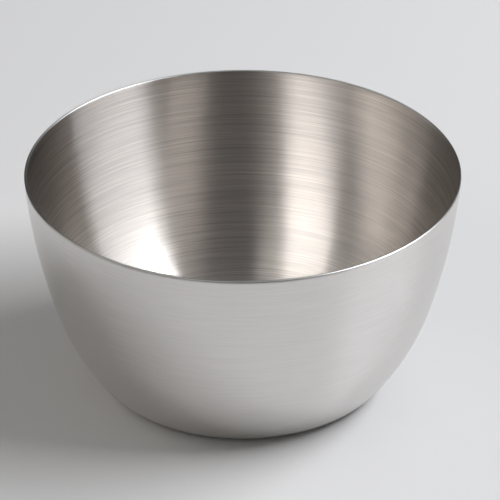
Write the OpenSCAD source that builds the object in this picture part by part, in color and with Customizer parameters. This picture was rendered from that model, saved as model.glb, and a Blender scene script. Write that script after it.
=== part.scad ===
// Salad bowl in stainless steel: one sheet, drawn to a round bowl and trimmed to a plain crowned edge.
// The outside is three arcs that run smoothly into each other, down to the flat ring that the bowl stands on,
// which lies round a shallow hollow. The inside follows it one sheet further in.
// Millimetres, +Z up. The origin is the centre of the base, on the surface that the bowl stands on.

/* [Bowl] */
// Outside diameter at the rim
rim_d = 200; // [160:1:300]
// Height from the table to the top of the rim
bowl_h = 106; // [70:1:124]
// Thickness of the sheet
sheet_t = 1.2; // [0.6:0.1:2]

/* [Outside profile, from the table up] */
// Radius of the bend between the base and the wall
corner_r = 14; // [6:1:30]
// Radius of the lower wall
belly_r = 114; // [80:1:140]
// Radius of the upper wall
wall_r = 306; // [220:2:500]

/* [Base] */
// Width of the flat ring that the bowl stands on
foot_w = 7; // [4:0.5:12]
// Width of the slope between the standing ring and the hollow of the base
hollow_slope_w = 6; // [3:0.5:12]
// Height of the hollow of the base above the table, so that the bowl stands on the ring and doesn't rock
hollow_h = 0.6; // [0.2:0.1:1]

/* [Rim] */
// What the radius of the crowned edge has over half the thickness of the sheet
crown_extra = 0.1; // [0.05:0.05:0.4]

/* [Hidden] */
$fn = 240;

// Directions, from the centres of the arcs, in which the bend runs into the lower wall,
// and the lower wall into the upper
corner_end = [4, -3] / 5;
belly_end = [24, -7] / 25;

// Sheet above the rim and below the table, for cutting
trim = 5;

// Heights of the centres of the arcs
belly_z = corner_r - (belly_r - corner_r) * corner_end.y;
wall_z = belly_z - (wall_r - belly_r) * belly_end.y;

// The crowned edge
crown_r = sheet_t / 2 + crown_extra;
crown_z = bowl_h - crown_r;

// Radius of the upper wall at the crowned edge, from the centre of its own arc
rim_reach = sqrt(pow(wall_r, 2) - pow(crown_z - wall_z, 2));
crown_reach = sqrt(pow(wall_r - sheet_t / 2, 2) - pow(crown_z - wall_z, 2));

// Radii of the centres of the arcs. The bend's is also the outside of the standing ring,
// to a hundredth of a millimetre
corner_x = round(100 * (rim_d / 2 - rim_reach
                        + (belly_r - corner_r) * corner_end.x
                        + (wall_r - belly_r) * belly_end.x)) / 100;
belly_x = corner_x - (belly_r - corner_r) * corner_end.x;
wall_x = belly_x - (wall_r - belly_r) * belly_end.x;

// The part of a disc between two heights, on the outer side of the radius inside_x
module arc_slice(centre, radius, low, high, inside_x = 0) {
    intersection() {
        translate(centre) circle(r = radius);
        translate([inside_x, low]) square([rim_d, high - low]);
    }
}

// Half section of the outside of the bowl, filled, drawn in evenly by inset
module filled_half(inset) {
    corner_top = corner_r + (corner_r - inset) * corner_end.y;
    belly_top = belly_z + (belly_r - inset) * belly_end.y;
    difference() {
        union() {
            translate([0, inset]) square([corner_x, corner_top - inset]);
            arc_slice([corner_x, corner_r], corner_r - inset, -trim, corner_top, corner_x);
            arc_slice([belly_x, belly_z], belly_r - inset, corner_top, belly_top);
            arc_slice([wall_x, wall_z], wall_r - inset, belly_top, bowl_h + trim);
        }
        translate([0, inset]) base_hollow();
    }
}

// Half section of the hollow under the base
module base_hollow() {
    ring_x = corner_x - foot_w;
    hollow_x = ring_x - hollow_slope_w;
    polygon([[-trim, -trim], [ring_x, -trim], [ring_x, 0], [hollow_x, hollow_h], [-trim, hollow_h]]);
}

// Half section of all that is left of the sheet once the rim is trimmed and crowned
module trimmed_half() {
    translate([0, -trim]) square([rim_d, crown_z + trim]);
    translate([wall_x + crown_reach, crown_z]) circle(r = crown_r);
}

// The one sheet that the bowl is made of
module bowl() {
    color([0.74, 0.73, 0.71])
    rotate_extrude()
    intersection() {
        difference() {
            filled_half(0);
            filled_half(sheet_t);
        }
        trimmed_half();
    }
}

bowl();
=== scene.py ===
"""Salad bowl of one brushed steel sheet on a pale table, in soft light, seen from the photograph's place."""

import math
from collections import namedtuple

import bpy
import numpy as np
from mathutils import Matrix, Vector


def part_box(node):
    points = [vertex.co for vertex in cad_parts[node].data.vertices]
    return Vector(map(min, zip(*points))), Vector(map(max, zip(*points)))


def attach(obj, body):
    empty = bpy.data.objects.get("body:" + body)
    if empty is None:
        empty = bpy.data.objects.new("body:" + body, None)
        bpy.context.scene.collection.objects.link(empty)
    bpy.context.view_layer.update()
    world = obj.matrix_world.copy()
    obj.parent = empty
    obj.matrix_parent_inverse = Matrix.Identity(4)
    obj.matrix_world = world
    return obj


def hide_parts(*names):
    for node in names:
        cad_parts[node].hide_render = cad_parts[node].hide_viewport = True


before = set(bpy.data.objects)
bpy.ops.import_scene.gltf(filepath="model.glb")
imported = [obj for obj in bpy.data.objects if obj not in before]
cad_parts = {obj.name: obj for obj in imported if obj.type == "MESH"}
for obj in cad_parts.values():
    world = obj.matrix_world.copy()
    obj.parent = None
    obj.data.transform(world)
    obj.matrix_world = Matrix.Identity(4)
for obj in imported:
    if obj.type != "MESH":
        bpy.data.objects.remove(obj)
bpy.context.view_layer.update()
bowl_low, bowl_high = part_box("bowl")
scene = bpy.context.scene

# Sizes of the bowl, in metres. Its height and its width at the rim come from the frame.
MM = 0.001
SHEET = 1.2 * MM
CORNER_R = 14 * MM
BELLY_R = 114 * MM
WALL_R = 306 * MM
CROWN_R = SHEET / 2 + 0.1 * MM
FOOT_WIDTH = 7 * MM
HOLLOW_SLOPE_WIDTH = 6 * MM
HOLLOW_HEIGHT = 0.6 * MM

# Directions, from the centres of the arcs, in which one arc of the outside runs into the next
CORNER_END = (0.8, -0.6)
BELLY_END = (0.96, -0.28)

# How finely the bowl is turned: facets round the axis, and steps along each stretch of the section
ROUND_STEPS = 240
HOLLOW_STEPS = 8
SLOPE_STEPS = 3
FOOT_STEPS = 3
CORNER_STEPS = 14
BELLY_STEPS = 24
WALL_STEPS = 36
CROWN_STEPS = 8

# The map that the brush follows, and the length that it spans, about that of the section outside and inside
BRUSH_MAP = "brush"
SECTION_LENGTH = 0.37

# Brush lines, shades of the colour: spacing along the section, length round the axis, and shade
INSIDE_LINES = ((0.7 * MM, 40 * MM, 0.45), (0.4 * MM, 70 * MM, 0.5))
OUTSIDE_LINES = ((0.5 * MM, 18 * MM, 0.15),)

# Waver of the brush along its lines: spacing, length and slope
INSIDE_WAVER = (0.428 * MM, 70 * MM, 0.04)
OUTSIDE_WAVER = (0.535 * MM, 18 * MM, 0.04)

# Grooves of the brush, too fine to be seen one by one: the pitch of both faces, then for each face the slope
# at a groove's edges and the power of the distance from its middle by which the slope gets there
GROOVE_PITCH = 0.1 * MM
INSIDE_GROOVES = (1.2, 7)
OUTSIDE_GROOVES = (3.2, 21)

# Colours and shine of the steel
INSIDE_COLOUR = (0.8, 0.762, 0.728)
OUTSIDE_COLOUR = (0.728, 0.706, 0.688)
RIM_COLOUR = (0.7, 0.69, 0.67)
BRUSHED_ROUGHNESS = 0.275
RIM_ROUGHNESS = 0.35
INSIDE_ANISOTROPY = 1.0
OUTSIDE_ANISOTROPY = 0.2

# The photograph's camera: distance from the middle of the base, height as an angle, where it points, and lens
CAMERA_DISTANCE = 1.4
CAMERA_ELEVATION = math.radians(32.77)
CAMERA_AIM = Vector((0.0033, 0.0, 0.0629))
CAMERA_LENS_MM = 211.4
CAMERA_SENSOR_MM = 36.0

# Lights round the table, in metres and degrees. The side where one stands is counted clockwise, as seen from
# above, from straight behind the bowl, and down is how far below level it faces.
Light = namedtuple("Light", "place side down width tallness radiance colour")
DAYLIGHT = (0.98, 1.0, 1.03)
WARM_WHITE = (1.0, 0.97, 0.93)
WHITE = (1.0, 1.0, 1.0)
LIGHTS = {
    "window": Light(
        place=(1.93, 0.2, 2.3), side=90, down=79, width=2.3, tallness=0.65, radiance=19.7, colour=DAYLIGHT,
    ),
    "left_wall": Light(
        place=(-2.0, -0.7, 2.1), side=250, down=45, width=6.0, tallness=1.7, radiance=0.95, colour=WARM_WHITE,
    ),
    "left_low": Light(
        place=(-2.8, 0.5, 0.9), side=280, down=17, width=3.5, tallness=1.3, radiance=0.2, colour=WARM_WHITE,
    ),
    "ceiling": Light(
        place=(0.0, 0.0, 3.0), side=0, down=90, width=2.9, tallness=2.9, radiance=0.38, colour=WHITE,
    ),
}
ROOM_COLOUR = (0.003, 0.003, 0.003)

# The table, a hair below the bowl so that their faces don't coincide
TABLE_SIZE = 24.0
TABLE_CELLS = 4
TABLE_GAP = 0.1 * MM
TABLE_COLOUR = (0.805, 0.8, 0.8)
TABLE_ROUGHNESS = 0.7
TABLE_SPECULAR = 0.2


def line(start, end, steps):
    """Points along a straight stretch."""
    shares = np.linspace(0, 1, steps + 1)
    return [(start[0] + (end[0] - start[0]) * s, start[1] + (end[1] - start[1]) * s) for s in shares]


def arc(centre, radius, start, end, steps):
    """Points along an arc, between two angles."""
    turns = np.linspace(start, end, steps + 1)
    return [(centre[0] + radius * math.cos(t), centre[1] + radius * math.sin(t)) for t in turns]


def half_section():
    """Points from under the base up the outside, over the rim and down inside, and each step's finish."""
    crown_z = bowl_high.z - CROWN_R
    edge_z = crown_z + math.sqrt(CROWN_R**2 - (SHEET / 2) ** 2)
    belly_z = CORNER_R - (BELLY_R - CORNER_R) * CORNER_END[1]
    wall_z = belly_z - (WALL_R - BELLY_R) * BELLY_END[1]
    wall_x = bowl_high.x - math.sqrt(WALL_R**2 - (edge_z - wall_z) ** 2)
    belly_x = wall_x + (WALL_R - BELLY_R) * BELLY_END[0]
    corner_x = belly_x + (BELLY_R - CORNER_R) * CORNER_END[0]
    crown_x = wall_x + math.sqrt((WALL_R - SHEET / 2) ** 2 - (crown_z - wall_z) ** 2)
    ring_x = corner_x - FOOT_WIDTH
    hollow_x = ring_x - HOLLOW_SLOPE_WIDTH
    corner_turn = math.atan2(CORNER_END[1], CORNER_END[0])
    belly_turn = math.atan2(BELLY_END[1], BELLY_END[0])
    crown_turn = math.asin((edge_z - crown_z) / CROWN_R)

    def face(inset):
        """One face of the sheet, from the middle of the base to the rim, drawn in by inset."""
        wall_turn = math.asin((edge_z - wall_z) / (WALL_R - inset))
        stretches = (
            line((0, HOLLOW_HEIGHT + inset), (hollow_x, HOLLOW_HEIGHT + inset), HOLLOW_STEPS),
            line((hollow_x, HOLLOW_HEIGHT + inset), (ring_x, inset), SLOPE_STEPS),
            line((ring_x, inset), (corner_x, inset), FOOT_STEPS),
            arc((corner_x, CORNER_R), CORNER_R - inset, -math.pi / 2, corner_turn, CORNER_STEPS),
            arc((belly_x, belly_z), BELLY_R - inset, corner_turn, belly_turn, BELLY_STEPS),
            arc((wall_x, wall_z), WALL_R - inset, belly_turn, wall_turn, WALL_STEPS),
        )
        return [stretches[0][0]] + [point for stretch in stretches for point in stretch[1:]]

    outside = face(0.0)
    crown = arc((crown_x, crown_z), CROWN_R, crown_turn, math.pi - crown_turn, CROWN_STEPS)[1:-1]
    inside = face(SHEET)[::-1]
    points = np.array(outside + crown + inside)
    finishes = ["outside"] * (len(outside) - 1) + ["rim"] * (len(crown) + 1) + ["inside"] * (len(inside) - 1)
    return points, finishes


def turned_bowl(materials):
    """The bowl as one closed mesh turned from its half section, with the brush's map on it."""
    points, finishes = half_section()
    lengths = np.concatenate(([0], np.cumsum(np.hypot(*np.diff(points, axis=0).T))))
    along = lengths / lengths[-1]
    angles = np.arange(ROUND_STEPS) * 2 * math.pi / ROUND_STEPS
    rings = points[1:-1]
    top = len(rings) - 1
    vertices = [(0.0, 0.0, points[0][1])]
    vertices += [(r * math.cos(a), r * math.sin(a), z) for r, z in rings for a in angles]
    vertices += [(0.0, 0.0, points[-1][1])]
    last = len(vertices) - 1

    def corner(ring, step):
        return 1 + ring * ROUND_STEPS + step % ROUND_STEPS

    faces, places, slots = [], [], []
    for step in range(ROUND_STEPS):
        low, high = step / ROUND_STEPS, (step + 1) / ROUND_STEPS
        middle = (low + high) / 2
        faces.append((0, corner(0, step + 1), corner(0, step)))
        places.append(((along[0], middle), (along[1], high), (along[1], low)))
        slots.append(finishes[0])
        for ring in range(top):
            here, there = along[ring + 1], along[ring + 2]
            lower = (corner(ring, step), corner(ring, step + 1))
            upper = (corner(ring + 1, step + 1), corner(ring + 1, step))
            faces.append(lower + upper)
            places.append(((here, low), (here, high), (there, high), (there, low)))
            slots.append(finishes[ring + 1])
        faces.append((corner(top, step), corner(top, step + 1), last))
        places.append(((along[-2], low), (along[-2], high), (along[-1], middle)))
        slots.append(finishes[-1])

    mesh = bpy.data.meshes.new("satin_bowl")
    mesh.from_pydata(vertices, [], faces)
    uv_layer = mesh.uv_layers.new(name=BRUSH_MAP)
    uv_layer.data.foreach_set("uv", np.array([p for face in places for p in face], np.float32).ravel())
    names = list(materials)
    for name in names:
        mesh.materials.append(materials[name])
    mesh.polygons.foreach_set("material_index", np.array([names.index(s) for s in slots], np.int32))
    mesh.polygons.foreach_set("use_smooth", np.ones(len(faces), bool))
    mesh.validate()
    mesh.update()
    made = bpy.data.objects.new("satin_bowl", mesh)
    scene.collection.objects.link(made)
    return made


def node(tree, kind, **settings):
    """A new shader node with the settings given."""
    made = tree.nodes.new(kind)
    for name, value in settings.items():
        setattr(made, name, value)
    return made


def maths(tree, operation, first, second=None):
    """What a Math node gives for two inputs, each a number or another node's output."""
    made = node(tree, "ShaderNodeMath", operation=operation)
    for socket, value in zip(made.inputs, (first, second)):
        if isinstance(value, bpy.types.NodeSocket):
            tree.links.new(value, socket)
        elif value is not None:
            socket.default_value = value
    return made.outputs["Value"]


def brush_place(tree):
    """Place on the brush's map: metres along the section, and radians round the axis."""
    uv = node(tree, "ShaderNodeUVMap", uv_map=BRUSH_MAP)
    split = node(tree, "ShaderNodeSeparateXYZ")
    tree.links.new(uv.outputs["UV"], split.inputs["Vector"])
    along = maths(tree, "MULTIPLY", split.outputs["X"], SECTION_LENGTH)
    turn = maths(tree, "MULTIPLY", split.outputs["Y"], 2 * math.pi)
    return along, turn


def line_noise(tree, place, spacing, length):
    """Noise of about -0.5 to 0.5, in lines round the axis of the spacing and length given."""
    along, turn = place
    around = bowl_high.x / length
    vector = node(tree, "ShaderNodeCombineXYZ")
    tree.links.new(maths(tree, "MULTIPLY", maths(tree, "COSINE", turn), around), vector.inputs["X"])
    tree.links.new(maths(tree, "MULTIPLY", maths(tree, "SINE", turn), around), vector.inputs["Y"])
    tree.links.new(maths(tree, "DIVIDE", along, spacing), vector.inputs["Z"])
    noise = node(tree, "ShaderNodeTexNoise")
    noise.inputs["Scale"].default_value = 1
    noise.inputs["Detail"].default_value = 1
    tree.links.new(vector.outputs["Vector"], noise.inputs["Vector"])
    return maths(tree, "SUBTRACT", noise.outputs["Fac"], 0.5)


def groove_slope(tree, place, slope, power):
    """Slope across the grooves, each level for the most part and as steep as given at its edges."""
    along, _ = place
    wave = maths(tree, "PINGPONG", maths(tree, "DIVIDE", along, GROOVE_PITCH), 0.5)
    # From -1 at one edge of a groove to 1 at the other
    side = maths(tree, "SUBTRACT", maths(tree, "MULTIPLY", wave, 4), 1)
    return maths(tree, "MULTIPLY", maths(tree, "POWER", side, power), slope)


def brushed_normal(tree, place, grooves, waver):
    """Normal tilted across the brush lines by the grooves, and along them by the waver."""
    spacing, length, waver_slope = waver
    across = groove_slope(tree, place, *grooves)
    along = maths(tree, "MULTIPLY", line_noise(tree, place, spacing, length), waver_slope)
    # Each part of the normal goes into the map's colour halved, plus a half
    colour = node(tree, "ShaderNodeCombineXYZ")
    colour.inputs["Z"].default_value = 1
    for slope, channel in ((across, "X"), (along, "Y")):
        tree.links.new(maths(tree, "ADD", maths(tree, "MULTIPLY", slope, 0.5), 0.5), colour.inputs[channel])
    tilt = node(tree, "ShaderNodeNormalMap", space="TANGENT", uv_map=BRUSH_MAP)
    tree.links.new(colour.outputs["Vector"], tilt.inputs["Color"])
    return tilt.outputs["Normal"]


def brushed_colour(tree, place, colour, lines):
    """Colour shaded by the brush lines."""
    shade = 1.0
    for spacing, length, depth in lines:
        noise = line_noise(tree, place, spacing, length)
        shade = maths(tree, "ADD", shade, maths(tree, "MULTIPLY", noise, depth))
    shaded = node(tree, "ShaderNodeVectorMath", operation="SCALE")
    shaded.inputs["Vector"].default_value = colour
    tree.links.new(shade, shaded.inputs["Scale"])
    return shaded.outputs["Vector"]


def steel(name, colour, roughness):
    """Bare steel."""
    material = bpy.data.materials.new(name)
    material.use_nodes = True
    shader = material.node_tree.nodes["Principled BSDF"]
    shader.inputs["Base Color"].default_value = (*colour, 1)
    shader.inputs["Metallic"].default_value = 1
    shader.inputs["Roughness"].default_value = roughness
    return material


def brushed_steel(name, colour, anisotropy, lines, waver, grooves):
    """Steel brushed round the axis, with its shine drawn out along the section, across the brush lines."""
    material = steel(name, colour, BRUSHED_ROUGHNESS)
    tree = material.node_tree
    shader = tree.nodes["Principled BSDF"]
    shader.inputs["Anisotropic"].default_value = anisotropy
    place = brush_place(tree)
    tangent = node(tree, "ShaderNodeTangent", direction_type="UV_MAP", uv_map=BRUSH_MAP)
    tree.links.new(tangent.outputs["Tangent"], shader.inputs["Tangent"])
    tree.links.new(brushed_colour(tree, place, colour, lines), shader.inputs["Base Color"])
    tree.links.new(brushed_normal(tree, place, grooves, waver), shader.inputs["Normal"])
    return material


def table_top():
    """The table, plain and pale."""
    material = bpy.data.materials.new("pale_table")
    material.use_nodes = True
    shader = material.node_tree.nodes["Principled BSDF"]
    shader.inputs["Base Color"].default_value = (*TABLE_COLOUR, 1)
    shader.inputs["Roughness"].default_value = TABLE_ROUGHNESS
    shader.inputs["Specular IOR Level"].default_value = TABLE_SPECULAR
    bpy.ops.mesh.primitive_grid_add(x_subdivisions=TABLE_CELLS, y_subdivisions=TABLE_CELLS, size=TABLE_SIZE)
    made = bpy.context.object
    made.name = "table_top"
    made.location.z = bowl_low.z - TABLE_GAP
    made.data.materials.append(material)


def studio():
    """The lights, in a dark room."""
    for name, light in LIGHTS.items():
        lamp = bpy.data.lights.new(name, "AREA")
        lamp.shape = "RECTANGLE"
        lamp.size = light.width
        lamp.size_y = light.tallness
        lamp.color = light.colour
        lamp.energy = light.radiance * math.pi * light.width * light.tallness
        made = bpy.data.objects.new(name, lamp)
        made.location = light.place
        # Before it is turned, a lamp faces straight down
        made.rotation_euler = (math.radians(90 - light.down), 0, math.radians(180 - light.side))
        scene.collection.objects.link(made)
    scene.world = bpy.data.worlds.new("room")
    scene.world.use_nodes = True
    scene.world.node_tree.nodes["Background"].inputs["Color"].default_value = (*ROOM_COLOUR, 1)


def camera():
    """The photograph's camera, straight in front of the bowl and above it."""
    data = bpy.data.cameras.new("camera")
    data.sensor_width = CAMERA_SENSOR_MM
    data.lens = CAMERA_LENS_MM
    made = bpy.data.objects.new("camera", data)
    back = CAMERA_DISTANCE * math.cos(CAMERA_ELEVATION)
    up = CAMERA_DISTANCE * math.sin(CAMERA_ELEVATION)
    made.location = (0, -back, up)
    made.rotation_mode = "QUATERNION"
    made.rotation_quaternion = (CAMERA_AIM - made.location).to_track_quat("-Z", "Y")
    scene.collection.objects.link(made)
    scene.camera = made


camera()
bowl = turned_bowl({
    "outside": brushed_steel(
        "satin_outside", OUTSIDE_COLOUR, OUTSIDE_ANISOTROPY, OUTSIDE_LINES, OUTSIDE_WAVER, OUTSIDE_GROOVES,
    ),
    "rim": steel("ground_edge", RIM_COLOUR, RIM_ROUGHNESS),
    "inside": brushed_steel(
        "satin_inside", INSIDE_COLOUR, INSIDE_ANISOTROPY, INSIDE_LINES, INSIDE_WAVER, INSIDE_GROOVES,
    ),
})
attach(bowl, "root")
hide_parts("bowl")
table_top()
studio()
scene.view_settings.view_transform = "Standard"
